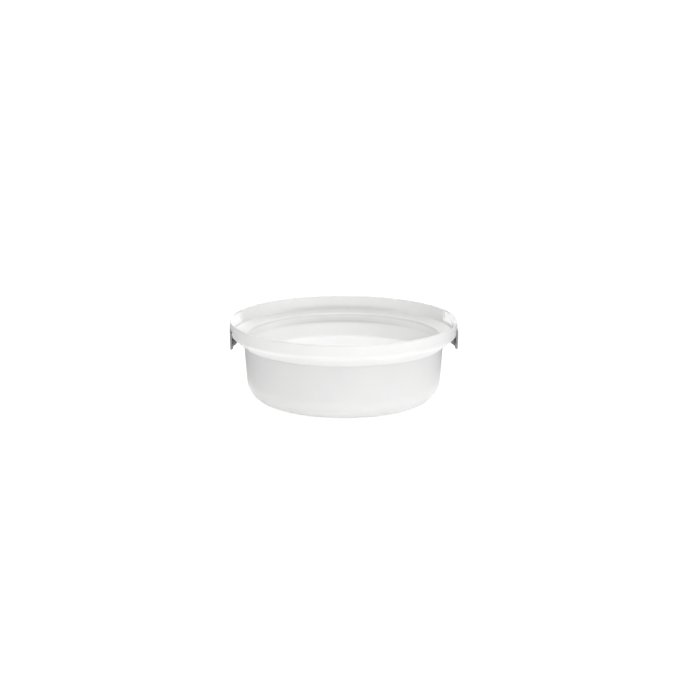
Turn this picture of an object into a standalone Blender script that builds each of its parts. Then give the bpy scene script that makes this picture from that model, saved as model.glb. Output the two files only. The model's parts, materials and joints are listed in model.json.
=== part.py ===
"""Microwave chip container: an open round bowl, its lift-out tray and two side clips.

Lengths are in metres and +Z is up. The origin is the middle of the underside.
The clips face +X and -X. Heights are counted up from the table, depths down from the rim.
"""

import math

import bmesh
import bpy
from mathutils import Matrix, Vector

MM = 0.001

# Overall size of the bowl
RIM_RADIUS = 117.5 * MM
BOWL_HEIGHT = 85.0 * MM

# Collar: the upright band at the top of the bowl
COLLAR_WALL = 2.6 * MM
COLLAR_DEPTH = 13.6 * MM
COLLAR_DRAFT = 0.4 * MM
COLLAR_FOOT_ROUND = 6.0 * MM
RIM_ROUND = 0.9 * MM

# Shoulder: the cone that steps in from the collar down to the body
SHOULDER_DROP = 11.7 * MM
SHOULDER_STEP = 14.9 * MM

# Body and floor
BODY_WALL = 2.3 * MM
BODY_TAPER = math.radians(4.5)
BASE_ROUND = 26.0 * MM
FLOOR_WALL = 2.2 * MM
FOOT_RING_WIDTH = 15.9 * MM
FOOT_RING_HEIGHT = 0.8 * MM

# Ledge inside the collar's foot, which carries the tray
LEDGE_DROP = 1.15 * MM
LEDGE_WIDTH = 3.9 * MM
EDGE_ROUND = 0.5 * MM

# Thin pockets inside the collar, one behind each clip
POCKET_WALL = 1.2 * MM
POCKET_HALF_ANGLE = math.radians(24.0)
POCKET_DEPTH = 11.0 * MM

# Lift-out tray
TRAY_WALL = 1.8 * MM
TRAY_FLOOR_DEPTH = 39.8 * MM
TRAY_FLOOR_ROUND = 2.5 * MM
TRAY_RIM_THICKNESS = 1.85 * MM
TRAY_RIM_FOOT = 2.3 * MM
TRAY_LIP_DROP = 2.8 * MM
TRAY_LIP_ROUND = 1.2 * MM

# Side clips
CLIP_WIDTH = 44.0 * MM
CLIP_PLATE = 2.2 * MM
CLIP_DRAFT = 0.6 * MM
CLIP_TOP_DEPTH = 8.3 * MM
CLIP_TOP_ROUND = 5.0 * MM
CLIP_FOOT_ROUND = 4.0 * MM

# Finger bar along the foot of each clip, thickest just below the hinge
CLIP_TAB_LENGTH = 5.8 * MM
CLIP_TAB_MARGIN = 2.0 * MM
CLIP_TAB_THICKNESS = 3.1 * MM
CLIP_TAB_CREST = 3.7 * MM
CLIP_TAB_CREST_DROP = 1.5 * MM
CLIP_TAB_EDGE = 1.0 * MM

# Hook at the top of each clip, and the pad and window that it goes through
PAD_WALL = 1.5 * MM
PAD_ABOVE_CLIP = 2.0 * MM
PAD_FOOT_OVERLAP = 0.2 * MM
HOOK_WIDTH = 23.0 * MM
HOOK_THICKNESS = 2.0 * MM
HOOK_DROP = 1.0 * MM
HOOK_REACH = 1.0 * MM

# Hinge of each clip: an axle moulded on the clip, held by a split ear on the bowl
HINGE_SETBACK = 4.75 * MM
HUB_ARC = math.radians(145.0)
AXLE_RADIUS = 1.4 * MM
EAR_WIDTH = 14.0 * MM
EAR_RADIUS = 3.0 * MM
LUG_WIDTH = 3.7 * MM
SNAP_BITE = 0.5 * MM

# Clearances
SEAT_GAP = 0.3 * MM
TRAY_WALL_GAP = 0.45 * MM
TRAY_HOOK_GAP = 0.4 * MM
CLIP_GAP = 0.3 * MM
CLIP_END_GAP = 0.6 * MM
WINDOW_GAP = 0.5 * MM
HINGE_GAP = 0.35 * MM
HUB_GAP = 0.9 * MM

# Facets, and how far a cut runs past a face or a joined shape into its neighbour
TURNED_STEPS = 80
BASE_ROUND_STEPS = 7
COLLAR_FOOT_STEPS = 4
POCKET_STEPS = 12
CORNER_STEPS = 4
SMALL_ROUND_STEPS = 3
TRAY_EDGE_STEPS = 2
HINGE_STEPS = 20
OVERLAP = 1.0 * MM
MERGE_DISTANCE = 0.001 * MM
SHARP_ANGLE = math.radians(30.0)

# Sizes of the bowl that follow from the ones above
RIM_INNER_RADIUS = RIM_RADIUS - COLLAR_WALL
COLLAR_FOOT_RADIUS = RIM_RADIUS - COLLAR_DRAFT
COLLAR_FOOT_HEIGHT = BOWL_HEIGHT - COLLAR_DEPTH
BODY_TOP_RADIUS = RIM_RADIUS - SHOULDER_STEP
SHOULDER_HEIGHT = COLLAR_FOOT_HEIGHT - SHOULDER_DROP
SHOULDER_SLOPE = math.atan2(COLLAR_FOOT_RADIUS - BODY_TOP_RADIUS, SHOULDER_DROP)
LEDGE_HEIGHT = COLLAR_FOOT_HEIGHT - LEDGE_DROP
LEDGE_OUTER_RADIUS = RIM_INNER_RADIUS - COLLAR_DRAFT
LEDGE_INNER_RADIUS = LEDGE_OUTER_RADIUS - LEDGE_WIDTH
FLOOR_HEIGHT = FOOT_RING_HEIGHT + FLOOR_WALL

# Sizes of the tray and the clips that follow from them
TRAY_RIM_HEIGHT = LEDGE_HEIGHT + SEAT_GAP + TRAY_RIM_THICKNESS
TRAY_LIP_HEIGHT = TRAY_RIM_HEIGHT - TRAY_LIP_DROP
CLIP_FACE = RIM_RADIUS
CLIP_BACK = CLIP_FACE - CLIP_PLATE
CLIP_TOP_HEIGHT = BOWL_HEIGHT - CLIP_TOP_DEPTH
RECESS_FACE = CLIP_BACK - CLIP_GAP
PAD_FACE = RECESS_FACE - PAD_WALL
HOOK_TIP = PAD_FACE - HOOK_REACH
HOOK_HEIGHT = CLIP_TOP_HEIGHT - HOOK_DROP
TRAY_RIM_RADIUS = HOOK_TIP - TRAY_HOOK_GAP

# The hinge lies a set distance inside the clip's face and a set distance off the shoulder
HINGE_RADIUS = CLIP_FACE - HINGE_SETBACK
HINGE_STANDOFF = EAR_RADIUS + 0.5 * HINGE_GAP
HUB_RADIUS = HINGE_STANDOFF - HUB_GAP
SHOULDER_AT_HINGE = HINGE_RADIUS - HINGE_STANDOFF / math.cos(SHOULDER_SLOPE)
HINGE_HEIGHT = COLLAR_FOOT_HEIGHT - (COLLAR_FOOT_RADIUS - SHOULDER_AT_HINGE) / math.tan(SHOULDER_SLOPE)
CLIP_FOOT_HEIGHT = HINGE_HEIGHT - CLIP_TAB_LENGTH
SNAP_GAP = 2.0 * AXLE_RADIUS - SNAP_BITE
LUG_INNER = EAR_WIDTH / 2.0 + CLIP_GAP
CLIP_MIDDLE = CLIP_BACK + CLIP_PLATE / 2.0
CLIP_TAB_FOOT = CLIP_FOOT_HEIGHT + CLIP_TAB_EDGE


def body_radius(height, inward=0.0):
    """Radius of the tapered body wall at a height, moved inward square to the wall."""
    outer = BODY_TOP_RADIUS - (SHOULDER_HEIGHT - height) * math.tan(BODY_TAPER)
    return outer - inward / math.cos(BODY_TAPER)


def clear_scene():
    for old in list(bpy.data.objects):
        bpy.data.objects.remove(old, do_unlink=True)


def plastic(name, colour, roughness, transmission=0.0):
    """Moulded polypropylene of one colour."""
    material = bpy.data.materials.new(name)
    material.use_nodes = True
    shader = material.node_tree.nodes["Principled BSDF"]
    shader.inputs["Base Color"].default_value = (*colour, 1.0)
    shader.inputs["Roughness"].default_value = roughness
    shader.inputs["Metallic"].default_value = 0.0
    shader.inputs["Transmission Weight"].default_value = transmission
    return material


def rounded_corner(before, corner, after, radius, steps):
    """Points of the arc that rounds one corner of an outline."""
    corner = Vector(corner)
    back = (Vector(before) - corner).normalized()
    forth = (Vector(after) - corner).normalized()
    half = back.angle(forth) / 2.0
    middle = corner + (back + forth).normalized() * radius / math.sin(half)
    start = corner + back * radius / math.tan(half) - middle
    end = corner + forth * radius / math.tan(half) - middle
    turn = start.angle_signed(end)
    points = []
    for step in range(steps + 1):
        spoke = start.copy()
        spoke.rotate(Matrix.Rotation(-turn * step / steps, 2))
        points.append(middle + spoke)
    return points


def outline(corners, closed=False):
    """Outline through corners of (across, up, rounding radius, steps)."""
    points = []
    for index, (across, up, radius, steps) in enumerate(corners):
        inside = closed or 0 < index < len(corners) - 1
        if inside and radius > 0.0:
            before = corners[index - 1][:2]
            after = corners[(index + 1) % len(corners)][:2]
            points.extend(rounded_corner(before, (across, up), after, radius, steps))
        else:
            points.append(Vector((across, up)))
    return points


def finish_mesh(bm, name, material):
    """Close a bmesh into an object with outward faces and smooth round sides."""
    bmesh.ops.recalc_face_normals(bm, faces=bm.faces)
    mesh = bpy.data.meshes.new(name)
    bm.to_mesh(mesh)
    bm.free()
    mesh.shade_smooth()
    mesh.set_sharp_from_angle(angle=SHARP_ANGLE)
    made = bpy.data.objects.new(name, mesh)
    made.data.materials.append(material)
    bpy.context.scene.collection.objects.link(made)
    return made


def turned(name, points, material):
    """Solid turned about the Z axis from an outline that starts and ends on the axis."""
    bm = bmesh.new()
    verts = [bm.verts.new((point.x, 0.0, point.y)) for point in points]
    edges = [bm.edges.new(pair) for pair in zip(verts, verts[1:])]
    bmesh.ops.spin(
        bm,
        geom=verts + edges,
        cent=(0.0, 0.0, 0.0),
        axis=(0.0, 0.0, 1.0),
        angle=2.0 * math.pi,
        steps=TURNED_STEPS,
        use_merge=True,
    )
    bmesh.ops.remove_doubles(bm, verts=bm.verts, dist=MERGE_DISTANCE)
    return finish_mesh(bm, name, material)


def pushed(bm, points, place, travel):
    """Prism in a bmesh: an outline set out by place() and pushed along a vector."""
    face = bm.faces.new([bm.verts.new(place(point)) for point in points])
    grown = bmesh.ops.extrude_face_region(bm, geom=[face])
    moved = [item for item in grown["geom"] if isinstance(item, bmesh.types.BMVert)]
    bmesh.ops.translate(bm, verts=moved, vec=travel)


def along_y(points, half_width, middle=0.0):
    """Prism of an outline in X and Z, as wide as stated along Y."""
    bm = bmesh.new()
    start = middle - half_width
    pushed(bm, points, lambda point: (point.x, start, point.y), (0.0, 2.0 * half_width, 0.0))
    return bm


def circle(across, up, radius, steps=HINGE_STEPS):
    turns = [2.0 * math.pi * step / steps for step in range(steps)]
    return [Vector((across + radius * math.cos(turn), up + radius * math.sin(turn))) for turn in turns]


def rectangle(low_across, low_up, high_across, high_up):
    return [
        Vector((low_across, low_up)),
        Vector((high_across, low_up)),
        Vector((high_across, high_up)),
        Vector((low_across, high_up)),
    ]


def tool(bm, name, material):
    """Hidden shape that only shapes another one."""
    made = finish_mesh(bm, name, material)
    made.hide_render = True
    made.display_type = "WIRE"
    return made


def combine(target, operation, other):
    modifier = target.modifiers.new(other.name, "BOOLEAN")
    modifier.operation = operation
    modifier.solver = "EXACT"
    modifier.object = other


def facing_left(made):
    """Copy of a hidden shape for the clip on the -X side."""
    other = bpy.data.objects.new(made.name + "_left", made.data)
    other.rotation_euler = (0.0, 0.0, math.pi)
    other.hide_render = True
    other.display_type = "WIRE"
    bpy.context.scene.collection.objects.link(other)
    return other


def combine_both(target, operation, made):
    combine(target, operation, made)
    combine(target, operation, facing_left(made))


def bowl_outline():
    """Bowl from the middle of the underside, out, up over the rim and down the inside."""
    fine = SMALL_ROUND_STEPS
    turn = SHOULDER_SLOPE - BODY_TAPER
    inner_shoulder = SHOULDER_HEIGHT + BODY_WALL * math.tan(turn / 2.0)
    ring_outer = body_radius(0.0) - BASE_ROUND * math.tan((math.pi / 2.0 - BODY_TAPER) / 2.0)
    ring_inner = ring_outer - FOOT_RING_WIDTH
    return outline([
        (0.0, FOOT_RING_HEIGHT, 0.0, 0),
        (ring_inner - FOOT_RING_HEIGHT, FOOT_RING_HEIGHT, 0.0, 0),
        (ring_inner, 0.0, 0.0, 0),
        (body_radius(0.0), 0.0, BASE_ROUND, BASE_ROUND_STEPS),
        (BODY_TOP_RADIUS, SHOULDER_HEIGHT, EDGE_ROUND, 1),
        (COLLAR_FOOT_RADIUS, COLLAR_FOOT_HEIGHT, COLLAR_FOOT_ROUND, COLLAR_FOOT_STEPS),
        (RIM_RADIUS, BOWL_HEIGHT, RIM_ROUND, fine),
        (RIM_INNER_RADIUS, BOWL_HEIGHT, RIM_ROUND, fine),
        (LEDGE_OUTER_RADIUS, LEDGE_HEIGHT, EDGE_ROUND, 1),
        (LEDGE_INNER_RADIUS, LEDGE_HEIGHT, EDGE_ROUND, 1),
        (body_radius(inner_shoulder, BODY_WALL), inner_shoulder, EDGE_ROUND, 1),
        (body_radius(FLOOR_HEIGHT, BODY_WALL), FLOOR_HEIGHT, BASE_ROUND - BODY_WALL, BASE_ROUND_STEPS),
        (0.0, FLOOR_HEIGHT, 0.0, 0),
    ])


def arc(radius, half_angle, steps):
    """Points of an arc about the Z axis, seen from above, that +X halves."""
    turns = [half_angle * (2.0 * step / steps - 1.0) for step in range(steps + 1)]
    return [Vector((radius * math.cos(turn), radius * math.sin(turn))) for turn in turns]


def upright(points, low, high):
    """Prism of an outline seen from above, between two heights."""
    bm = bmesh.new()
    pushed(bm, points, lambda point: (point.x, point.y, low), (0.0, 0.0, high - low))
    return bm


def pocket_cutter(material):
    """Ring sector that thins the inside of the collar behind the +X clip."""
    outer = arc(RIM_RADIUS - POCKET_WALL, POCKET_HALF_ANGLE, POCKET_STEPS)
    inner = arc(RIM_INNER_RADIUS - COLLAR_WALL, POCKET_HALF_ANGLE, POCKET_STEPS)
    low = BOWL_HEIGHT - POCKET_DEPTH
    return tool(upright(outer + inner[::-1], low, BOWL_HEIGHT + OVERLAP), "pocket_cutter", material)


def clip_pad(material):
    """Flat wall that closes the thin pocket behind the +X clip."""
    inside_wall = RIM_RADIUS - POCKET_WALL / 2.0
    points = arc(inside_wall, math.acos(PAD_FACE / inside_wall), POCKET_STEPS)
    low = BOWL_HEIGHT - POCKET_DEPTH - PAD_FOOT_OVERLAP
    return tool(upright(points, low, CLIP_TOP_HEIGHT + PAD_ABOVE_CLIP), "clip_pad", material)


def clip_pad_foot(material):
    """Lower part of that flat wall, from the pocket down to the ledge."""
    half_width = math.sqrt(RIM_INNER_RADIUS ** 2 - PAD_FACE ** 2)
    top = BOWL_HEIGHT - POCKET_DEPTH + PAD_FOOT_OVERLAP
    points = rectangle(PAD_FACE, LEDGE_HEIGHT - PAD_FOOT_OVERLAP, RECESS_FACE + OVERLAP, top)
    return tool(along_y(points, half_width), "clip_pad_foot", material)


def clip_recess(material):
    """Flat recess in the outside of the collar, which the +X clip lies in."""
    top = CLIP_TOP_HEIGHT + CLIP_END_GAP
    points = rectangle(RECESS_FACE, SHOULDER_HEIGHT, CLIP_FACE + 2.0 * OVERLAP, top)
    return tool(along_y(points, CLIP_WIDTH / 2.0 + CLIP_END_GAP), "clip_recess", material)


def hook_window(material):
    """Window through the pad for the hook of the +X clip."""
    low = HOOK_HEIGHT - HOOK_THICKNESS - WINDOW_GAP
    points = rectangle(PAD_FACE - OVERLAP, low, RECESS_FACE + OVERLAP, HOOK_HEIGHT + WINDOW_GAP)
    return tool(along_y(points, HOOK_WIDTH / 2.0 + WINDOW_GAP), "hook_window", material)


def hinge_ear(material):
    """Round-ended ear that runs from the shoulder to the hinge of the +X clip."""
    inward = math.pi - SHOULDER_SLOPE
    reach = EAR_RADIUS + HINGE_GAP + BODY_WALL / 2.0
    half = HINGE_STEPS // 2
    points = []
    for step in range(half + 1):
        turn = inward + math.pi / 2.0 + math.pi * step / half
        spoke = Vector((math.cos(turn), math.sin(turn))) * EAR_RADIUS
        points.append(Vector((HINGE_RADIUS, HINGE_HEIGHT)) + spoke)
    root = Vector((math.cos(inward), math.sin(inward))) * reach
    points.append(points[-1] + root)
    points.append(points[0] + root)
    return tool(along_y(points, EAR_WIDTH / 2.0), "hinge_ear", material)


def ear_bore(material):
    """Bore for the axle of the +X clip."""
    points = circle(HINGE_RADIUS, HINGE_HEIGHT, AXLE_RADIUS + HINGE_GAP)
    return tool(along_y(points, EAR_WIDTH / 2.0 + OVERLAP), "ear_bore", material)


def ear_slot(material):
    """Slot that splits the ear away from the shoulder, so that the axle snaps in."""
    outward = Vector((math.cos(-SHOULDER_SLOPE), math.sin(-SHOULDER_SLOPE)))
    across = Vector((-outward.y, outward.x)) * SNAP_GAP / 2.0
    middle = Vector((HINGE_RADIUS, HINGE_HEIGHT))
    far = middle + outward * (EAR_RADIUS + OVERLAP)
    points = [middle - across, far - across, far + across, middle + across]
    return tool(along_y(points, EAR_WIDTH / 2.0 + OVERLAP), "ear_slot", material)


def make_bowl(material):
    bowl = turned("bowl", bowl_outline(), material)
    combine_both(bowl, "DIFFERENCE", pocket_cutter(material))
    combine_both(bowl, "UNION", clip_pad(material))
    combine_both(bowl, "UNION", clip_pad_foot(material))
    combine_both(bowl, "DIFFERENCE", clip_recess(material))
    combine_both(bowl, "DIFFERENCE", hook_window(material))
    combine_both(bowl, "UNION", hinge_ear(material))
    combine_both(bowl, "DIFFERENCE", ear_bore(material))
    combine_both(bowl, "DIFFERENCE", ear_slot(material))
    return bowl


def make_tray(material):
    """Tray whose rim lies on the ledge and whose wall follows the bowl's wall."""
    floor = BOWL_HEIGHT - TRAY_FLOOR_DEPTH
    lip = TRAY_LIP_HEIGHT
    under = LEDGE_HEIGHT + SEAT_GAP
    outside = BODY_WALL + TRAY_WALL_GAP
    inside = outside + TRAY_WALL
    fine = SMALL_ROUND_STEPS
    points = outline([
        (0.0, floor - TRAY_WALL, 0.0, 0),
        (body_radius(floor - TRAY_WALL, outside), floor - TRAY_WALL, TRAY_FLOOR_ROUND + TRAY_WALL, fine),
        (body_radius(lip - TRAY_WALL, outside), lip - TRAY_WALL, TRAY_LIP_ROUND, fine),
        (TRAY_RIM_RADIUS - TRAY_RIM_FOOT, under, 0.0, 0),
        (TRAY_RIM_RADIUS, under, 0.0, 0),
        (TRAY_RIM_RADIUS, TRAY_RIM_HEIGHT, EDGE_ROUND, TRAY_EDGE_STEPS),
        (body_radius(lip, inside), lip, TRAY_LIP_ROUND, fine),
        (body_radius(floor, inside), floor, TRAY_FLOOR_ROUND, fine),
        (0.0, floor, 0.0, 0),
    ])
    return turned("inner_tray", points, material)


def clip_plate(material):
    """Plate of the +X clip, with rounded corners and an outer face that slopes in to its foot."""
    half = CLIP_WIDTH / 2.0
    points = outline([
        (-half, CLIP_FOOT_HEIGHT, CLIP_FOOT_ROUND, CORNER_STEPS),
        (half, CLIP_FOOT_HEIGHT, CLIP_FOOT_ROUND, CORNER_STEPS),
        (half, CLIP_TOP_HEIGHT, CLIP_TOP_ROUND, CORNER_STEPS),
        (-half, CLIP_TOP_HEIGHT, CLIP_TOP_ROUND, CORNER_STEPS),
    ], closed=True)
    bm = bmesh.new()
    pushed(bm, points, lambda point: (CLIP_BACK, point.x, point.y), (CLIP_PLATE, 0.0, 0.0))
    for vert in bm.verts:
        if vert.co.x > CLIP_MIDDLE:
            share = (CLIP_TOP_HEIGHT - vert.co.z) / (CLIP_TOP_HEIGHT - CLIP_FOOT_HEIGHT)
            vert.co.x -= CLIP_DRAFT * share
    return bm


def clip_tab(material):
    """Finger bar on the back of the plate's foot."""
    crest_height = HINGE_HEIGHT - CLIP_TAB_CREST_DROP
    crest = CLIP_FACE - CLIP_TAB_CREST
    points = [
        Vector((crest, crest_height)),
        Vector((CLIP_FACE - CLIP_TAB_THICKNESS, CLIP_TAB_FOOT)),
        Vector((CLIP_MIDDLE, CLIP_TAB_FOOT)),
        Vector((CLIP_MIDDLE, crest_height + CLIP_MIDDLE - crest)),
    ]
    return tool(along_y(points, CLIP_WIDTH / 2.0 - CLIP_TAB_MARGIN), "clip_tab", material)


def clip_lug(side, material):
    """Hub beside the ear with the web that joins it to the plate and the finger bar."""
    top_of_hub = math.pi / 2.0
    half = HINGE_STEPS // 2
    points = []
    for step in range(half + 1):
        turn = top_of_hub + HUB_ARC * step / half
        spoke = Vector((math.cos(turn), math.sin(turn))) * HUB_RADIUS
        points.append(Vector((HINGE_RADIUS, HINGE_HEIGHT)) + spoke)
    points.append(Vector((CLIP_FACE - CLIP_TAB_THICKNESS, CLIP_TAB_FOOT)))
    points.append(Vector((CLIP_MIDDLE, CLIP_TAB_FOOT)))
    points.append(Vector((CLIP_MIDDLE, HINGE_HEIGHT + HUB_RADIUS)))
    middle = side * (LUG_INNER + LUG_WIDTH / 2.0)
    return tool(along_y(points, LUG_WIDTH / 2.0, middle), "clip_lug", material)


def clip_hook(material):
    """Hook of the +X clip, bevelled above so that a lid can ride over it."""
    low = HOOK_HEIGHT - HOOK_THICKNESS
    lead = HOOK_THICKNESS / 2.0
    points = [
        Vector((HOOK_TIP, low)),
        Vector((CLIP_MIDDLE, low)),
        Vector((CLIP_MIDDLE, HOOK_HEIGHT)),
        Vector((HOOK_TIP + lead, HOOK_HEIGHT)),
        Vector((HOOK_TIP, HOOK_HEIGHT - lead)),
    ]
    return tool(along_y(points, HOOK_WIDTH / 2.0), "clip_hook", material)


def ear_relief(material):
    """Hollow in the back of the clip, which lets it turn round the ear."""
    points = circle(HINGE_RADIUS, HINGE_HEIGHT, EAR_RADIUS + HINGE_GAP)
    return tool(along_y(points, LUG_INNER), "ear_relief", material)


def clip_axle(material):
    points = circle(HINGE_RADIUS, HINGE_HEIGHT, AXLE_RADIUS)
    return tool(along_y(points, LUG_INNER + OVERLAP), "clip_axle", material)


def make_clips(material):
    """Both clips, each with its origin on its hinge axis."""
    hinge = Vector((HINGE_RADIUS, 0.0, HINGE_HEIGHT))
    shapes = [
        ("UNION", clip_tab(material)),
        ("DIFFERENCE", ear_relief(material)),
        ("UNION", clip_lug(1.0, material)),
        ("UNION", clip_lug(-1.0, material)),
        ("UNION", clip_axle(material)),
        ("UNION", clip_hook(material)),
    ]
    for name, turn in (("clip_right", 0.0), ("clip_left", math.pi)):
        clip = finish_mesh(clip_plate(material), name, material)
        clip.data.transform(Matrix.Translation(-hinge))
        clip.rotation_euler = (0.0, 0.0, turn)
        clip.location = Matrix.Rotation(turn, 4, "Z") @ hinge
        for operation, shape in shapes:
            combine(clip, operation, shape if turn == 0.0 else facing_left(shape))


def main():
    clear_scene()
    milky = plastic("milky_polypropylene", (0.80, 0.80, 0.79), 0.35, 0.15)
    white = plastic("white_polypropylene", (0.86, 0.86, 0.85), 0.35, 0.05)
    grey = plastic("grey_polypropylene", (0.16, 0.16, 0.17), 0.45)
    make_bowl(milky)
    make_tray(white)
    make_clips(grey)


main()
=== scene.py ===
"""Studio scene of a microwave chip container: its bowl, lift-out tray and side clips.

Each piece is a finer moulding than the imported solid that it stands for, with the same
main sizes. Lengths are in metres and +Z is up. The origin is the middle of the underside,
and the clips face +X and -X. Heights are counted up from the table.
"""

import json
import math

import bmesh
import bpy
from bpy.props import FloatProperty, PointerProperty, StringProperty
from mathutils import Matrix, Vector


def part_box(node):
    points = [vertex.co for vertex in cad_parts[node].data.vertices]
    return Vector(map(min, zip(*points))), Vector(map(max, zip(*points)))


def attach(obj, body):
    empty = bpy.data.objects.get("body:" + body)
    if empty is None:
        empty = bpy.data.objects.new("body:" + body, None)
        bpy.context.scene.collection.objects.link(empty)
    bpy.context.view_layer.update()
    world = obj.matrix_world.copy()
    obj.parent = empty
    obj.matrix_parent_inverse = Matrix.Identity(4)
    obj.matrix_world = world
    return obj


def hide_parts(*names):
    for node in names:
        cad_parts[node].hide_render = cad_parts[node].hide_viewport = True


bl_info = {
    "name": "Microwave Chip Container",
    "version": (1, 0, 0),
    "blender": (4, 5, 0),
    "location": "3D View > Sidebar > Chip Container",
    "description": "Makes the bowl, tray and clips of a microwave chip container and its studio",
    "category": "Add Mesh",
}

MM = 0.001

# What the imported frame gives: the boxes of its solids and the place of a clip's hinge
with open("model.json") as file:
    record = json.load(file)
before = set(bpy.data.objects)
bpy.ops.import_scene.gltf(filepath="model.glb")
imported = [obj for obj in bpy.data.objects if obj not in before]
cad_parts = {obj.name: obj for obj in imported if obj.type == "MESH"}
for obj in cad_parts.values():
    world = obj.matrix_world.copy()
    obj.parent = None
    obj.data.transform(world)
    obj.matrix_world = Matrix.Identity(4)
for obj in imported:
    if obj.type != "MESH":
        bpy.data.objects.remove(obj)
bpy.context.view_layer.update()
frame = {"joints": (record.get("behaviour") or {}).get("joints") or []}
BOWL_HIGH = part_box("bowl")[1]
TRAY_LOW, TRAY_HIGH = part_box("inner_tray")
CLIP_LOW, CLIP_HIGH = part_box("clip_right")
HINGE_PLACES = {joint["name"]: joint["pos_m"] for joint in frame["joints"] if "pos_m" in joint}
HINGE_RADIUS, _, HINGE_HEIGHT = HINGE_PLACES["clip_right_hinge"]
HINGE = (HINGE_RADIUS, HINGE_HEIGHT)

# Facets of the finer meshes, counted along each curve
TURNED_STEPS = 320
BASE_ROUND_STEPS = 24
COLLAR_FOOT_STEPS = 10
RIM_STEPS = 7
LIP_STEPS = 8
EDGE_STEPS = 4
POCKET_STEPS = 64
PAD_STEPS = 24
CORNER_STEPS = 10
HINGE_STEPS = 48
BEVEL_STEPS = 3
MARK_STEPS = 2
# Edges that turn by more than this are drawn sharp
SHARP_ANGLE = math.radians(32.0)
# Points nearer to each other than this count as one
MERGE_DISTANCE = 0.001 * MM
# How far a shape that is added or cut away reaches past the surface that it meets
OVERLAP = 1.0 * MM
# Small roundings: of a moulding mark and the foot ring, and under the tray's rim
MARK_ROUND = 0.1 * MM
RIM_UNDER_ROUND = 0.15 * MM


def length(name, millimetres, description):
    """Length that the user can change, with its default in millimetres."""
    return FloatProperty(
        name=name, description=description, default=millimetres * MM,
        min=0.0, precision=5, subtype="DISTANCE", unit="LENGTH",
    )


def turn(name, degrees, description):
    """Angle that the user can change, with its default in degrees."""
    return FloatProperty(
        name=name, description=description, default=math.radians(degrees), subtype="ANGLE", unit="ROTATION"
    )


def hue(name, code, description):
    """Colour that the user can change, written as an sRGB hex code."""
    return StringProperty(name=name, description=description, default=code, maxlen=7)


class BowlSizes(bpy.types.PropertyGroup):
    """Sizes of the bowl."""

    rim_radius: length("Rim radius", CLIP_HIGH.x / MM, "Half of the width across the rim")
    height: length("Height", BOWL_HIGH.z / MM, "Height of the rim above the table")
    collar_wall: length("Collar wall", 2.6, "Thickness of the upright band under the rim")
    collar_depth: length("Collar depth", 13.6, "Depth of the collar's foot below the rim")
    collar_draft: length("Collar draft", 0.4, "How far the collar's foot lies inside its rim")
    collar_foot_round: length("Collar foot round", 6.0, "Rounding where the collar meets the shoulder")
    rim_round: length("Rim round", 0.9, "Rounding of the rim's edges")
    shoulder_drop: length("Shoulder drop", 11.7, "Height of the cone between collar and body")
    shoulder_step: length("Shoulder step", 14.9, "How far the body lies inside the rim")
    body_wall: length("Body wall", 2.3, "Thickness of the body's wall")
    body_taper: turn("Body taper", 4.5, "Slope of the body's wall from upright")
    base_round: length("Base round", 26.0, "Outer rounding between the body and the base")
    floor_wall: length("Floor wall", 2.2, "Thickness of the floor")
    foot_ring_width: length("Foot ring width", 15.9, "Width of the flat ring that the bowl stands on")
    foot_ring_height: length("Foot ring height", 0.8, "How far the base is stepped up inside that ring")
    ledge_drop: length("Ledge drop", 1.15, "How far the tray's ledge lies below the collar's foot")
    ledge_width: length("Ledge width", 3.9, "Width of the ledge that carries the tray")
    edge_round: length("Edge round", 0.5, "Rounding of the small edges")
    pocket_wall: length("Pocket wall", 1.2, "Wall left where the collar is thinned behind a clip")
    pocket_half_angle: turn("Pocket half angle", 24.0, "Half of the arc that a pocket takes up")
    pocket_depth: length("Pocket depth", 11.0, "Depth of a pocket below the rim")
    pocket_round: length("Pocket corner round", 3.0, "Rounding of a pocket's lower corners")
    gate_radius: length("Gate mark radius", 2.6, "Radius of the moulding mark under the floor")
    gate_height: length("Gate mark height", 0.3, "How far that mark stands off the base")

    @property
    def rim_inner_radius(self):
        return self.rim_radius - self.collar_wall

    @property
    def collar_foot_radius(self):
        return self.rim_radius - self.collar_draft

    @property
    def collar_foot_height(self):
        return self.height - self.collar_depth

    @property
    def body_top_radius(self):
        return self.rim_radius - self.shoulder_step

    @property
    def shoulder_height(self):
        return self.collar_foot_height - self.shoulder_drop

    @property
    def shoulder_slope(self):
        return math.atan2(self.collar_foot_radius - self.body_top_radius, self.shoulder_drop)

    @property
    def ledge_height(self):
        return self.collar_foot_height - self.ledge_drop

    @property
    def ledge_outer_radius(self):
        return self.rim_inner_radius - self.collar_draft

    @property
    def floor_height(self):
        return self.foot_ring_height + self.floor_wall

    def body_radius(self, height, inward=0.0):
        """Radius of the tapered wall at a height, moved inward square to the wall."""
        outer = self.body_top_radius - (self.shoulder_height - height) * math.tan(self.body_taper)
        return outer - inward / math.cos(self.body_taper)


class TraySizes(bpy.types.PropertyGroup):
    """Sizes of the lift-out tray."""

    rim_radius: length("Rim radius", TRAY_HIGH.x / MM, "Half of the width across the tray's rim")
    underside: length("Underside", TRAY_LOW.z / MM, "Height of the tray's underside above the table")
    wall: length("Wall", 1.8, "Thickness of the tray's wall and floor")
    floor_round: length("Floor round", 2.5, "Rounding between the floor and the wall")
    rim_thickness: length("Rim thickness", 1.85, "Thickness of the rim that lies on the ledge")
    rim_foot: length("Rim foot", 2.3, "Width of the rim's flat underside")
    lip_drop: length("Lip drop", 2.8, "How far the wall starts below the rim's top")
    lip_round: length("Lip round", 1.2, "Rounding between the wall and the rim")
    seat_gap: length("Seat gap", 0.3, "Gap between the rim and the ledge")
    wall_gap: length("Wall gap", 0.45, "Gap between the tray's wall and the bowl's")
    edge_round: length("Edge round", 0.5, "Rounding of the rim's upper edge")
    gate_radius: length("Gate mark radius", 2.2, "Radius of the moulding mark under the tray")
    gate_height: length("Gate mark height", 0.3, "How far that mark stands off the underside")


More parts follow.
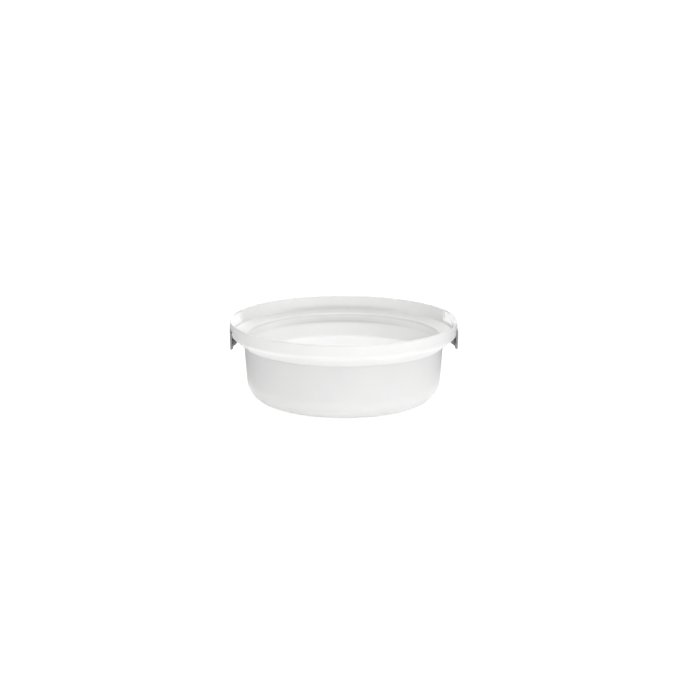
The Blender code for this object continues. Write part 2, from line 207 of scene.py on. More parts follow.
class ClipSizes(bpy.types.PropertyGroup):
    """Sizes of the side clips and of the seats that the bowl has for them."""

    width: length("Width", 2.0 * CLIP_HIGH.y / MM, "Width of a clip")
    top: length("Top", CLIP_HIGH.z / MM, "Height of a clip's top above the table")
    foot: length("Foot", CLIP_LOW.z / MM, "Height of a clip's foot above the table")
    plate: length("Plate", 2.2, "Thickness of a clip's plate")
    draft: length("Draft", 0.6, "How far the outer face slopes in from its top to its foot")
    top_round: length("Top round", 5.0, "Rounding of the plate's upper corners")
    foot_round: length("Foot round", 4.0, "Rounding of the plate's lower corners")
    edge_round: length("Edge round", 0.55, "Rounding round the plate's outer face")
    small_round: length("Small round", 0.25, "Rounding of the hook, the lugs and the ear")
    tab_margin: length("Tab margin", 2.0, "How far the finger bar stops short of the plate's ends")
    tab_thickness: length("Tab thickness", 3.1, "Thickness of the clip at the finger bar's foot")
    tab_crest: length("Tab crest", 3.7, "Thickness of the clip at the finger bar's crest")
    tab_crest_drop: length("Tab crest drop", 1.5, "How far that crest lies below the hinge")
    tab_edge: length("Tab edge", 1.0, "Height of the plate's edge below the finger bar")
    tab_round: length("Tab round", 0.6, "Rounding of the finger bar's edges")
    hook_width: length("Hook width", 23.0, "Width of the hook")
    hook_thickness: length("Hook thickness", 2.0, "Height of the hook")
    hook_drop: length("Hook drop", 1.0, "How far the hook lies below the plate's top")
    hook_reach: length("Hook reach", 1.0, "How far the hook stands out of the pad")
    pad_wall: length("Pad wall", 1.5, "Thickness of the flat wall behind the clip")
    pad_above: length("Pad above clip", 2.0, "How far that wall goes above the clip")
    pad_overlap: length("Pad overlap", 0.2, "How far the two halves of that wall run into each other")
    axle_radius: length("Axle radius", 1.4, "Radius of the axle moulded on the clip")
    ear_width: length("Ear width", 14.0, "Width of the split ear that holds the axle")
    ear_radius: length("Ear radius", 3.0, "Radius of the ear's round end")
    hub_arc: turn("Hub arc", 145.0, "Arc of the hubs beside the ear")
    lug_width: length("Lug width", 3.7, "Width of the hub on each side of the ear")
    snap_bite: length("Snap bite", 0.5, "How much narrower the ear's slot is than the axle")
    gap: length("Gap", 0.3, "Gap between clip and bowl")
    end_gap: length("End gap", 0.6, "Gap round the plate in its recess")
    window_gap: length("Window gap", 0.5, "Gap round the hook in its window")
    hinge_gap: length("Hinge gap", 0.35, "Gap round the axle in its ear")
    hub_gap: length("Hub gap", 0.9, "Gap between a hub and the shoulder")

    @property
    def back(self):
        return CLIP_HIGH.x - self.plate

    @property
    def buried(self):
        """Middle of the plate, where the shapes on its back are rooted."""
        return self.back + self.plate / 2.0

    @property
    def recess_face(self):
        return self.back - self.gap

    @property
    def pad_face(self):
        return self.recess_face - self.pad_wall

    @property
    def hook_top(self):
        return self.top - self.hook_drop

    @property
    def hub_radius(self):
        """The hinge stands off the shoulder by the ear's radius and half of the hinge's gap."""
        return self.ear_radius + self.hinge_gap / 2.0 - self.hub_gap

    @property
    def lug_inner(self):
        return self.ear_width / 2.0 + self.gap

    @property
    def tab_foot(self):
        return self.foot + self.tab_edge


class FinishColours(bpy.types.PropertyGroup):
    """Colours of the plastics and of the studio."""

    milky: hue("Milky plastic", "#F6F6F5", "Colour of the bowl")
    white: hue("White plastic", "#FAFAF9", "Colour of the tray")
    grey: hue("Grey plastic", "#949598", "Colour of the clips")
    paper: hue("Paper", "#F4F4F4", "Colour of the paper on the studio's floor")


def power(name, watts, description):
    """Power of a lamp that the user can change."""
    return FloatProperty(name=name, description=description, default=watts, min=0.0, unit="POWER")


def level(name, share, description):
    """Brightness that the user can change, from 0 to 1, where 1 is white."""
    return FloatProperty(
        name=name, description=description, default=share, min=0.0, max=1.0, precision=3, subtype="FACTOR"
    )


class StudioLevels(bpy.types.PropertyGroup):
    """Lamps and surroundings of the studio."""

    key: power("Key lamp", 14.3, "Power of the low lamp at the front right")
    front: power("Front lamp", 19.7, "Power of the lamp at the front, half-way up")
    right: power("Right lamp", 8.5, "Power of the lamp at the right, half-way up")
    back: power("Back lamp", 18.0, "Power of the lamp at the back, half-way up")
    top: power("Top lamp", 40.0, "Power of the lamp overhead")
    sides: power("Side lamps", 6.8, "Power of each low lamp at the sides")
    surroundings: level("Surroundings", 0.2, "Brightness of the studio's walls")
    cards: level("Black cards", 1.0, "Share of the far table that black cards hide from the object's gloss")
    table: level("Table glow", 0.278, "Light that the lit table gives off beside what it reflects")
    white: level("Background", 1.0, "Brightness of the seen walls")
    floor_white: level("Floor white", 0.87, "Part of the seen floor that no shadow darkens")
    floor_shade: level("Floor shade", 0.3, "Share of the floor's own light and shadow that is seen")


class ContainerSettings(bpy.types.PropertyGroup):
    """All settings of the container and its studio."""

    bowl: PointerProperty(name="Bowl", description="Sizes of the bowl", type=BowlSizes)
    tray: PointerProperty(name="Tray", description="Sizes of the tray", type=TraySizes)
    clips: PointerProperty(name="Clips", description="Sizes of the clips", type=ClipSizes)
    colours: PointerProperty(name="Colours", description="Colours of the finishes", type=FinishColours)
    studio: PointerProperty(name="Studio", description="Lamps and surroundings", type=StudioLevels)


# Shapes


def rounded_corner(before, corner, after, radius, steps):
    """Points of the arc that rounds one corner of an outline."""
    corner = Vector(corner)
    back = (Vector(before) - corner).normalized()
    forth = (Vector(after) - corner).normalized()
    half = back.angle(forth) / 2.0
    middle = corner + (back + forth).normalized() * radius / math.sin(half)
    start = corner + back * radius / math.tan(half) - middle
    end = corner + forth * radius / math.tan(half) - middle
    sweep = start.angle_signed(end)
    points = []
    for step in range(steps + 1):
        spoke = start.copy()
        spoke.rotate(Matrix.Rotation(-sweep * step / steps, 2))
        points.append(middle + spoke)
    return points


def outline(corners, closed=False):
    """Outline through corners of (across, up, rounding radius, steps)."""
    points = []
    for index, (across, up, radius, steps) in enumerate(corners):
        inside = closed or 0 < index < len(corners) - 1
        if inside and radius > 0.0:
            before = corners[index - 1][:2]
            after = corners[(index + 1) % len(corners)][:2]
            points.extend(rounded_corner(before, (across, up), after, radius, steps))
        else:
            points.append(Vector((across, up)))
    return points


def arc(middle, radius, start, sweep, steps):
    """Points of an arc about a middle point."""
    turns = [start + sweep * step / steps for step in range(steps + 1)]
    return [Vector(middle) + Vector((math.cos(angle), math.sin(angle))) * radius for angle in turns]


def turned(points):
    """Body turned about the Z axis from an outline that starts and ends on the axis."""
    bm = bmesh.new()
    verts = [bm.verts.new((point.x, 0.0, point.y)) for point in points]
    edges = [bm.edges.new(pair) for pair in zip(verts, verts[1:])]
    bmesh.ops.spin(
        bm, geom=verts + edges, cent=(0.0, 0.0, 0.0), axis=(0.0, 0.0, 1.0),
        angle=2.0 * math.pi, steps=TURNED_STEPS, use_merge=True,
    )
    bmesh.ops.remove_doubles(bm, verts=bm.verts, dist=MERGE_DISTANCE)
    return bm


def pushed(points, place, travel):
    """Prism: an outline set out by place() and pushed along a vector."""
    bm = bmesh.new()
    face = bm.faces.new([bm.verts.new(place(point)) for point in points])
    grown = bmesh.ops.extrude_face_region(bm, geom=[face])
    moved = [item for item in grown["geom"] if isinstance(item, bmesh.types.BMVert)]
    bmesh.ops.translate(bm, verts=moved, vec=travel)
    bmesh.ops.recalc_face_normals(bm, faces=bm.faces)
    return bm


def along_y(points, half_width, middle=0.0):
    """Prism of an outline in X and Z, as wide as stated along Y."""
    start = middle - half_width
    return pushed(points, lambda point: (point.x, start, point.y), (0.0, 2.0 * half_width, 0.0))


def upright(points, low, high):
    """Prism of an outline seen from above, between two heights."""
    return pushed(points, lambda point: (point.x, point.y, low), (0.0, 0.0, high - low))


def rounded_edges(bm, chosen, radius):
    """Round the edges that the test picks, which is given an edge's middle and the edge."""
    picked = [edge for edge in bm.edges if chosen((edge.verts[0].co + edge.verts[1].co) / 2.0, edge)]
    bmesh.ops.bevel(
        bm, geom=picked, offset=radius, offset_type="OFFSET", segments=BEVEL_STEPS,
        profile=0.5, affect="EDGES", clamp_overlap=True,
    )
    return bm


def ends_along_y(half_width, middle_y=0.0):
    """Test for rounded_edges that picks the edges round both ends of a prism along Y."""
    return lambda middle, edge: abs(abs(middle.y - middle_y) - half_width) < MERGE_DISTANCE


def turned_half_round(bm, verts=None):
    """Turn a shape, or some of its points, from the +X clip's side to the -X one's."""
    half_turn = Matrix.Rotation(math.pi, 3, "Z")
    bmesh.ops.rotate(bm, verts=verts or bm.verts, cent=(0.0, 0.0, 0.0), matrix=half_turn)
    return bm


def on_both_sides(bm):
    """Add the -X side's copy of a shape made for the +X clip."""
    copied = bmesh.ops.duplicate(bm, geom=bm.verts[:] + bm.edges[:] + bm.faces[:])
    return turned_half_round(bm, [item for item in copied["geom"] if isinstance(item, bmesh.types.BMVert)])


def blocks(low_x, low_z, high_x, high_z, half_width):
    """Block at each clip, between two corners in X and Z, with half of its width along Y."""
    places = ((low_x, low_z), (high_x, low_z), (high_x, high_z), (low_x, high_z))
    return on_both_sides(along_y([Vector(place) for place in places], half_width))


def remove_old(name):
    """Remove an earlier object of this name, so that a step can be run again."""
    if name in bpy.data.objects:
        bpy.data.objects.remove(bpy.data.objects[name], do_unlink=True)


def mesh_object(bm, name):
    """Close a bmesh into an object with outward faces."""
    bmesh.ops.recalc_face_normals(bm, faces=bm.faces)
    mesh = bpy.data.meshes.new(name)
    bm.to_mesh(mesh)
    bm.free()
    made = bpy.data.objects.new(name, mesh)
    bpy.context.scene.collection.objects.link(made)
    return made


def moulded(name, body, changes, material):
    """Piece shaped from a body by changes of (Boolean operation, shape), with clean shading."""
    remove_old(name)
    piece = mesh_object(body, name)
    shapes = []
    for index, (operation, bm) in enumerate(changes):
        shape = mesh_object(bm, "%s_shape_%d" % (name, index))
        modifier = piece.modifiers.new(shape.name, "BOOLEAN")
        modifier.operation = operation
        modifier.solver = "EXACT"
        modifier.object = shape
        shapes.append(shape)
    bpy.context.view_layer.update()
    graph = bpy.context.evaluated_depsgraph_get()
    mesh = bpy.data.meshes.new_from_object(piece.evaluated_get(graph))
    mesh.name = name
    piece.modifiers.clear()
    piece.data = mesh
    for shape in shapes:
        bpy.data.objects.remove(shape, do_unlink=True)
    mesh.materials.clear()
    mesh.materials.append(material)
    mesh.shade_smooth()
    mesh.set_sharp_from_angle(angle=SHARP_ANGLE)
    weights = piece.modifiers.new("weighted_normals", "WEIGHTED_NORMAL")
    weights.keep_sharp = True
    return piece


# The bowl's shapes


def bowl_body(bowl):
    """Bowl turned from its outline: underside, up the outside, over the rim and down the inside."""
    base = bowl.foot_ring_height
    mark = base - bowl.gate_height
    wedge = bowl.shoulder_slope - bowl.body_taper
    inner_shoulder = bowl.shoulder_height + bowl.body_wall * math.tan(wedge / 2.0)
    reach = bowl.base_round * math.tan((math.pi / 2.0 - bowl.body_taper) / 2.0)
    ring_inner = bowl.body_radius(0.0) - reach - bowl.foot_ring_width
    inner_round = bowl.base_round - bowl.body_wall
    floor_corner = bowl.body_radius(bowl.floor_height, bowl.body_wall)
    # The steps of the moulding mark and the foot ring slope at 45 degrees
    return turned(outline([
        (0.0, mark, 0.0, 0),
        (bowl.gate_radius, mark, MARK_ROUND, MARK_STEPS),
        (bowl.gate_radius + bowl.gate_height, base, 0.0, 0),
        (ring_inner - base, base, bowl.edge_round, EDGE_STEPS),
        (ring_inner, 0.0, MARK_ROUND, MARK_STEPS),
        (bowl.body_radius(0.0), 0.0, bowl.base_round, BASE_ROUND_STEPS),
        (bowl.body_top_radius, bowl.shoulder_height, bowl.edge_round, EDGE_STEPS),
        (bowl.collar_foot_radius, bowl.collar_foot_height, bowl.collar_foot_round, COLLAR_FOOT_STEPS),
        (bowl.rim_radius, bowl.height, bowl.rim_round, RIM_STEPS),
        (bowl.rim_inner_radius, bowl.height, bowl.rim_round, RIM_STEPS),
        (bowl.ledge_outer_radius, bowl.ledge_height, bowl.edge_round, EDGE_STEPS),
        (bowl.ledge_outer_radius - bowl.ledge_width, bowl.ledge_height, bowl.edge_round, EDGE_STEPS),
        (bowl.body_radius(inner_shoulder, bowl.body_wall), inner_shoulder, bowl.edge_round, EDGE_STEPS),
        (floor_corner, bowl.floor_height, inner_round, BASE_ROUND_STEPS),
        (0.0, bowl.floor_height, 0.0, 0),
    ]))


def pocket(bowl):
    """Ring sector with round lower corners, which thins the inside of the collar."""
    outer = bowl.rim_radius - bowl.pocket_wall
    inner = bowl.rim_inner_radius - bowl.collar_wall
    low = bowl.height - bowl.pocket_depth
    high = bowl.height + OVERLAP
    half = bowl.pocket_half_angle * outer
    rounding = bowl.pocket_round
    turns = [math.pi / 2.0 * step / CORNER_STEPS for step in range(CORNER_STEPS + 1)]
    corner = [(rounding * (1.0 - math.cos(angle)), rounding * (1.0 - math.sin(angle))) for angle in turns]
    straight = half - rounding
    columns = [(across - half, low + up) for across, up in corner]
    columns += [(straight * (2.0 * step / POCKET_STEPS - 1.0), low) for step in range(1, POCKET_STEPS)]
    columns += [(half - across, low + up) for across, up in reversed(corner)]
    bm = bmesh.new()
    loops = []
    for across, foot in columns:
        spoke = Vector((math.cos(across / outer), math.sin(across / outer), 0.0))
        corners = ((inner, foot), (outer, foot), (outer, high), (inner, high))
        loops.append([bm.verts.new(spoke * radius + Vector((0.0, 0.0, up))) for radius, up in corners])
    for loop, following in zip(loops, loops[1:]):
        for index in range(4):
            beside = (index + 1) % 4
            bm.faces.new((loop[index], loop[beside], following[beside], following[index]))
    bm.faces.new(loops[0])
    bm.faces.new(loops[-1])
    return on_both_sides(bm)


def pad(bowl, clips):
    """Flat wall that closes the pocket behind the clip."""
    inside_wall = bowl.rim_radius - bowl.pocket_wall / 2.0
    half_angle = math.acos(clips.pad_face / inside_wall)
    points = arc((0.0, 0.0), inside_wall, -half_angle, 2.0 * half_angle, PAD_STEPS)
    low = bowl.height - bowl.pocket_depth - clips.pad_overlap
    high = clips.top + clips.pad_above
    bm = upright(points, low, high)

    def upper_front(middle, edge):
        return middle.z > high - MERGE_DISTANCE and middle.x < clips.pad_face + MERGE_DISTANCE

    rounded_edges(bm, upper_front, bowl.edge_round)
    return on_both_sides(bm)


def pad_foot(bowl, clips):
    """Lower part of that flat wall, from the pocket down to the ledge."""
    half_width = math.sqrt(bowl.rim_inner_radius ** 2 - clips.pad_face ** 2)
    low = bowl.ledge_height - clips.pad_overlap
    high = bowl.height - bowl.pocket_depth + clips.pad_overlap
    return blocks(clips.pad_face, low, clips.recess_face + OVERLAP, high, half_width)


def recess(bowl, clips):
    """Flat recess in the outside of the collar, which the clip lies in."""
    outside = CLIP_HIGH.x + 2.0 * OVERLAP
    top = clips.top + clips.end_gap
    half_width = clips.width / 2.0 + clips.end_gap
    return blocks(clips.recess_face, bowl.shoulder_height, outside, top, half_width)


def window(clips):
    """Window through the pad for the clip's hook."""
    low = clips.hook_top - clips.hook_thickness - clips.window_gap
    high = clips.hook_top + clips.window_gap
    half_width = clips.hook_width / 2.0 + clips.window_gap
    return blocks(clips.pad_face - OVERLAP, low, clips.recess_face + OVERLAP, high, half_width)


def ear(bowl, clips):
    """Round-ended ear that runs from the shoulder to the hinge."""
    inward = math.pi - bowl.shoulder_slope
    start = inward + math.pi / 2.0
    reach = clips.ear_radius + clips.hinge_gap + bowl.body_wall / 2.0
    points = arc(HINGE, clips.ear_radius, start, math.pi, HINGE_STEPS // 2)
    root = Vector((math.cos(inward), math.sin(inward))) * reach
    points += [points[-1] + root, points[0] + root]
    half_width = clips.ear_width / 2.0
    bm = along_y(points, half_width)
    rounded_edges(bm, ends_along_y(half_width), clips.small_round)
    return on_both_sides(bm)


def keyhole(bowl, clips):
    """Bore for the axle with the slot through which it snaps in."""
    radius = clips.axle_radius + clips.hinge_gap
    half_slot = clips.axle_radius - clips.snap_bite / 2.0
    opening = math.asin(half_slot / radius)
    outward = -bowl.shoulder_slope
    points = arc(HINGE, radius, outward + opening, 2.0 * (math.pi - opening), HINGE_STEPS)
    away = Vector((math.cos(outward), math.sin(outward))) * (clips.ear_radius + OVERLAP)
    points += [points[-1] + away, points[0] + away]
    return on_both_sides(along_y(points, clips.ear_width / 2.0 + OVERLAP))


# The tray's shape


def tray_body(bowl, tray):
    """Tray whose rim lies on the ledge and whose wall follows the bowl's wall."""
    base = tray.underside
    floor = base + tray.wall
    under = bowl.ledge_height + tray.seat_gap
    top = under + tray.rim_thickness
    lip = top - tray.lip_drop
    outside = bowl.body_wall + tray.wall_gap
    inside = outside + tray.wall
    mark = base - tray.gate_height
    return turned(outline([
        (0.0, mark, 0.0, 0),
        (tray.gate_radius, mark, MARK_ROUND, MARK_STEPS),
        (tray.gate_radius + tray.gate_height, base, 0.0, 0),
        (bowl.body_radius(base, outside), base, tray.floor_round + tray.wall, LIP_STEPS),
        (bowl.body_radius(lip - tray.wall, outside), lip - tray.wall, tray.lip_round, LIP_STEPS),
        (tray.rim_radius - tray.rim_foot, under, 0.0, 0),
        (tray.rim_radius, under, RIM_UNDER_ROUND, MARK_STEPS),
        (tray.rim_radius, top, tray.edge_round, EDGE_STEPS),
        (bowl.body_radius(lip, inside), lip, tray.lip_round, LIP_STEPS),
        (bowl.body_radius(floor, inside), floor, tray.floor_round, LIP_STEPS),
        (0.0, floor, 0.0, 0),
    ]))


# The clips' shapes


def clip_plate(clips):
    """Plate with rounded corners and soft edges, whose outer face slopes in to its foot."""
    half = clips.width / 2.0
    points = outline([
        (-half, clips.foot, clips.foot_round, CORNER_STEPS),
        (half, clips.foot, clips.foot_round, CORNER_STEPS),
        (half, clips.top, clips.top_round, CORNER_STEPS),
        (-half, clips.top, clips.top_round, CORNER_STEPS),
    ], closed=True)
    bm = pushed(points, lambda point: (clips.back, point.x, point.y), (clips.plate, 0.0, 0.0))
    for vert in bm.verts:
        if vert.co.x > clips.buried:
            vert.co.x -= clips.draft * (clips.top - vert.co.z) / (clips.top - clips.foot)

    def outer(middle, edge):
        return min(vert.co.x for vert in edge.verts) > clips.buried

    def inner(middle, edge):
        return middle.x < clips.back + MERGE_DISTANCE

    rounded_edges(bm, outer, clips.edge_round)
    return rounded_edges(bm, inner, clips.small_round)


def clip_tab(clips):
    """Finger bar across the back of the plate's foot."""
    crest = CLIP_HIGH.x - clips.tab_crest
    crest_height = HINGE_HEIGHT - clips.tab_crest_drop
    # Above its crest the bar slopes back to the plate at 45 degrees
    points = outline([
        (crest, crest_height, clips.tab_round, EDGE_STEPS),
        (CLIP_HIGH.x - clips.tab_thickness, clips.tab_foot, clips.tab_round, EDGE_STEPS),
        (clips.buried, clips.tab_foot, 0.0, 0),
        (clips.buried, crest_height + clips.buried - crest, 0.0, 0),
    ], closed=True)
    half_width = clips.width / 2.0 - clips.tab_margin
    return rounded_edges(along_y(points, half_width), ends_along_y(half_width), clips.small_round)


def clip_lug(clips, side):
    """Hub beside the ear, with the web that joins it to the plate and the finger bar."""
    sunk = clips.tab_foot + clips.tab_round
    points = arc(HINGE, clips.hub_radius, math.pi / 2.0, clips.hub_arc, HINGE_STEPS // 2)
    points += [
        Vector((CLIP_HIGH.x - clips.tab_thickness, sunk)),
        Vector((clips.buried, sunk)),
        Vector((clips.buried, HINGE_HEIGHT + clips.hub_radius)),
    ]
    half_width = clips.lug_width / 2.0
    middle_y = side * (clips.lug_inner + half_width)
    bm = along_y(points, half_width, middle_y)
    return rounded_edges(bm, ends_along_y(half_width, middle_y), clips.small_round)


def clip_hook(clips):
    """Hook, bevelled above so that a lid can ride over it."""
    tip = clips.pad_face - clips.hook_reach
    low = clips.hook_top - clips.hook_thickness
    lead = clips.hook_thickness / 2.0
    root, top = clips.buried, clips.hook_top
    places = ((tip, low), (root, low), (root, top), (tip + lead, top), (tip, top - lead))
    bm = along_y([Vector(place) for place in places], clips.hook_width / 2.0)
    return rounded_edges(bm, lambda middle, edge: middle.x < clips.back, clips.small_round)


def round_bar(radius, half_width):
    """Round bar on the hinge's axis."""
    points = arc(HINGE, radius, 0.0, 2.0 * math.pi, HINGE_STEPS)[:-1]
    return along_y(points, half_width)


# Finishes

WHITE = (1.0, 1.0, 1.0, 1.0)
CARD_BLACK = (0.01, 0.01, 0.01, 1.0)
# How much a face's turn to the Z axis counts beside its turn upward, for each metre from the axis
INWARD_PULL = 10.0
# The mask of the inside fades between these two
INSIDE_FADE = (-0.1, 0.2)
# Polypropylene, and how far light spreads in it
REFRACTIVE_INDEX = 1.49
SCATTER_DEPTH = 3.0 * MM
SCATTER_COLOURS = (1.0, 1.0, 0.95)
# Waves of the flow from crest to crest, the darkest share of the colour and the drift of the gloss
FLOW_WAVE = 40.0 * MM
FLOW_SHADE = 0.955
GLOSS_DRIFT = 0.04
# Most values of a noise lie between these two
NOISE_LOW, NOISE_HIGH = 0.3, 0.7
# Paper fibre is finer than the picture shows, so it is drawn at 2 mm
PAPER_FIBRE = 2.0 * MM
PAPER_RELIEF = 0.02 * MM
# The black cards begin between these distances from the Z axis, in millimetres
CARDS_START, CARDS_FULL = 130.0, 200.0

# The stops below paint shade and glow into the plastics' colours
# Tones and masks as stops of (millimetres, brightness), seen in the photograph, for the default
# sizes. Heights count up from the table, and X and Y out from the middle on both sides
# Painted shade: the bowl's body and shoulder a little darker than its collar, and its rim's top darker
# still
BOWL_PAINTED_SHADE_BY_HEIGHT = ((66.0, 0.95), (72.5, 1.0), (83.2, 1.0), (84.0, 0.89))
# Painted shade: a soft grey band on the collar's inside, just above the tray's rim
LEDGE_PAINTED_SHADE_BY_HEIGHT = (
    (69.5, 1.0), (71.2, 0.83), (72.6, 0.86), (73.7, 0.875), (74.7, 0.93), (75.8, 0.975), (76.8, 1.0),
)
LEDGE_PAINTED_SHADE_BY_X = ((25.0, 1.0), (50.0, 0.6), (78.0, 0.0))
# Where the painted glow lies on the thin pocket walls, and how strong it is
POCKET_WALL_BY_RADIUS = ((115.6, 0.0), (115.9, 1.0))
POCKET_BY_Y = ((44.0, 1.0), (47.3, 0.0))
POCKET_ABOVE_LEDGE = ((74.0, 0.0), (74.6, 1.0))
POCKET_BELOW_RIM = ((82.6, 1.0), (83.2, 0.0))
POCKET_ENDS_BY_Y = ((26.0, 0.0), (38.0, 1.0))
POCKET_PAINTED_GLOW = 0.23
# Painted shade: a soft dark line on the tray's wall, where the bowl's shoulder lies behind it
TRAY_SHADE_LINE_BY_HEIGHT = (
    (57.5, 1.0), (59.1, 0.965), (60.2, 0.91), (60.9, 0.76), (61.6, 0.72), (62.4, 0.74),
    (63.1, 0.81), (64.5, 0.82), (65.5, 0.85), (66.6, 0.88), (68.2, 1.0),
)
TRAY_SHADE_LINE_BY_X = ((20.0, 1.0), (45.0, 0.65), (60.0, 0.5), (75.0, 0.2))
# Painted shade on the tray's rim, fading out towards the clips
TRAY_RIM_SHADE_BY_HEIGHT = ((66.6, 1.0), (68.2, 0.84), (69.3, 0.80), (70.3, 0.735), (71.2, 0.71), (72.3, 0.66))
TRAY_RIM_SHADE_BY_X = ((78.0, 1.0), (92.0, 0.85), (101.0, 0.6), (106.0, 0.4))
# Painted glow on the tray's sides, for light that comes through them
TRAY_SIDES_BY_X = ((50.0, 0.0), (75.0, 1.0))
TRAY_PAINTED_GLOW = 0.02


def linear(code):
    """Linear colour of an sRGB hex code."""
    values = [int(code[start:start + 2], 16) / 255.0 for start in (1, 3, 5)]
    return (*[v / 12.92 if v <= 0.04045 else ((v + 0.055) / 1.055) ** 2.4 for v in values], 1.0)


def add_node(tree, kind, settings, inputs):
    """Add one node with its settings. An input that is a socket is linked, any other is set."""
    made = tree.nodes.new(kind)
    for name, value in settings.items():
        setattr(made, name, value)
    for name, value in inputs.items():
        if isinstance(value, bpy.types.NodeSocket):
            tree.links.new(value, made.inputs[name])
        else:
            made.inputs[name].default_value = value
    return made


def empty_material(name):
    """Material with no nodes yet."""
    material = bpy.data.materials.get(name) or bpy.data.materials.new(name)
    material.use_nodes = True
    material.node_tree.nodes.clear()
    return material


def object_place(tree):
    """Place on the object, in metres from its origin."""
    return add_node(tree, "ShaderNodeTexCoord", {}, {}).outputs["Object"]


def vector_result(tree, operation, inputs, output="Vector"):
    """Result of one operation on vectors."""
    made = add_node(tree, "ShaderNodeVectorMath", {"operation": operation}, dict(enumerate(inputs)))
    return made.outputs[output]


def rescaled(tree, value, low, high, new_low=0.0, new_high=1.0):
    """Value taken from one range to another and held at its ends."""
    return add_node(tree, "ShaderNodeMapRange", {}, {
        "Value": value, "From Min": low, "From Max": high, "To Min": new_low, "To Max": new_high,
    }).outputs["Result"]


def noise(tree, size, look):
    """Noise in space, with features of about this size."""
    inputs = {"Vector": object_place(tree), "Scale": 1.0 / size, **look}
    return add_node(tree, "ShaderNodeTexNoise", {"noise_dimensions": "3D"}, inputs).outputs["Fac"]


def relief(tree, pattern, depth, below=None):
    """Surface directions of a pattern raised to a depth, over those of another one below it."""
    inputs = {"Height": pattern, "Strength": 1.0, "Distance": depth}
    if below:
        inputs["Normal"] = below
    return add_node(tree, "ShaderNodeBump", {}, inputs).outputs["Normal"]


def seen_inside(tree):
    """Mask that is 1 on faces turned up or towards the Z axis, and 0 on those turned out or down."""
    normal = add_node(tree, "ShaderNodeTexCoord", {}, {}).outputs["Normal"]
    inward = vector_result(tree, "MULTIPLY", (object_place(tree), (-INWARD_PULL, -INWARD_PULL, 0.0)))
    aim = vector_result(tree, "ADD", (inward, (0.0, 0.0, 1.0)))
    facing = vector_result(tree, "DOT_PRODUCT", (aim, normal), "Value")
    return rescaled(tree, facing, *INSIDE_FADE)


def along(tree, value, stops):
    """Brightness that follows a length through stops of (millimetres, brightness)."""
    low, high = stops[0][0], stops[-1][0]
    ramp = add_node(tree, "ShaderNodeValToRGB", {}, {"Fac": rescaled(tree, value, low * MM, high * MM)})
    elements = ramp.color_ramp.elements
    while len(elements) < len(stops):
        elements.new(0.5)
    for element, (place, _) in zip(elements, stops):
        element.position = (place - low) / (high - low)
    for element, (_, brightness) in zip(elements, stops):
        element.color = (brightness, brightness, brightness, 1.0)
    return ramp.outputs["Color"]


def multiplied(tree, factor, first, second):
    """First colour times the second, where the factor is 1. The mix node knows them by number."""
    return add_node(tree, "ShaderNodeMix", {"data_type": "RGBA", "blend_type": "MULTIPLY"}, {
        0: factor, 6: first, 7: second,
    }).outputs[2]


def product(tree, *masks):
    """Product of masks."""
    made = masks[0]
    for mask in masks[1:]:
        times = add_node(tree, "ShaderNodeMath", {"operation": "MULTIPLY"}, {0: made, 1: mask})
        made = times.outputs["Value"]
    return made


def distances(tree):
    """Distances from the Z axis, from the planes X = 0 and Y = 0, and height above the table."""
    place = object_place(tree)
    flat = vector_result(tree, "MULTIPLY", (place, (1.0, 1.0, 0.0)))
    spoke = vector_result(tree, "LENGTH", (flat,), "Value")
    aside = vector_result(tree, "ABSOLUTE", (place,))
    parts = add_node(tree, "ShaderNodeSeparateXYZ", {}, {"Vector": aside}).outputs
    return spoke, parts["X"], parts["Y"], parts["Z"]


def moulded_plastic(name, code, roughness, scatter, grain_size, grain_height, flow_height):
    """Injection-moulded polypropylene: even colour, satin grain and the faint waves of its flow.

    The colour and the gloss drift a little over some centimetres, as the melt cools unevenly.
    The grain's size and height and the waves' height are in millimetres.
    """
    material = empty_material(name)
    tree = material.node_tree
    flow = noise(tree, FLOW_WAVE, {"Detail": 2.0, "Roughness": 0.45, "Distortion": 0.6})
    # Real satin grain is about 0.1 mm. It is drawn coarser, so that it shows at all in the picture
    grain = noise(tree, grain_size * MM, {"Detail": 3.0, "Roughness": 0.6})
    base = linear(code)
    shade = [channel * FLOW_SHADE for channel in base[:3]] + [1.0]
    colour = add_node(tree, "ShaderNodeMix", {"data_type": "RGBA"}, {"Factor": flow, 6: shade, 7: base})
    gloss = rescaled(tree, flow, NOISE_LOW, NOISE_HIGH, roughness - GLOSS_DRIFT, roughness + GLOSS_DRIFT)
    surface = relief(tree, grain, grain_height * MM, below=relief(tree, flow, flow_height * MM))
    shader = add_node(tree, "ShaderNodeBsdfPrincipled", {"subsurface_method": "RANDOM_WALK"}, {
        "Base Color": colour.outputs[2], "Roughness": gloss, "Normal": surface,
        "Metallic": 0.0, "IOR": REFRACTIVE_INDEX, "Subsurface Weight": scatter,
        "Subsurface Radius": SCATTER_COLOURS, "Subsurface Scale": SCATTER_DEPTH,
    })
    add_node(tree, "ShaderNodeOutputMaterial", {}, {"Surface": shader.outputs["BSDF"]})
    return material, shader


def with_painted_shade(tree, shader, mask, tone):
    """Let the plastic's colour follow a tone of painted shade where the mask is 1."""
    base = shader.inputs["Base Color"]
    tree.links.new(multiplied(tree, mask, base.links[0].from_socket, tone), base)


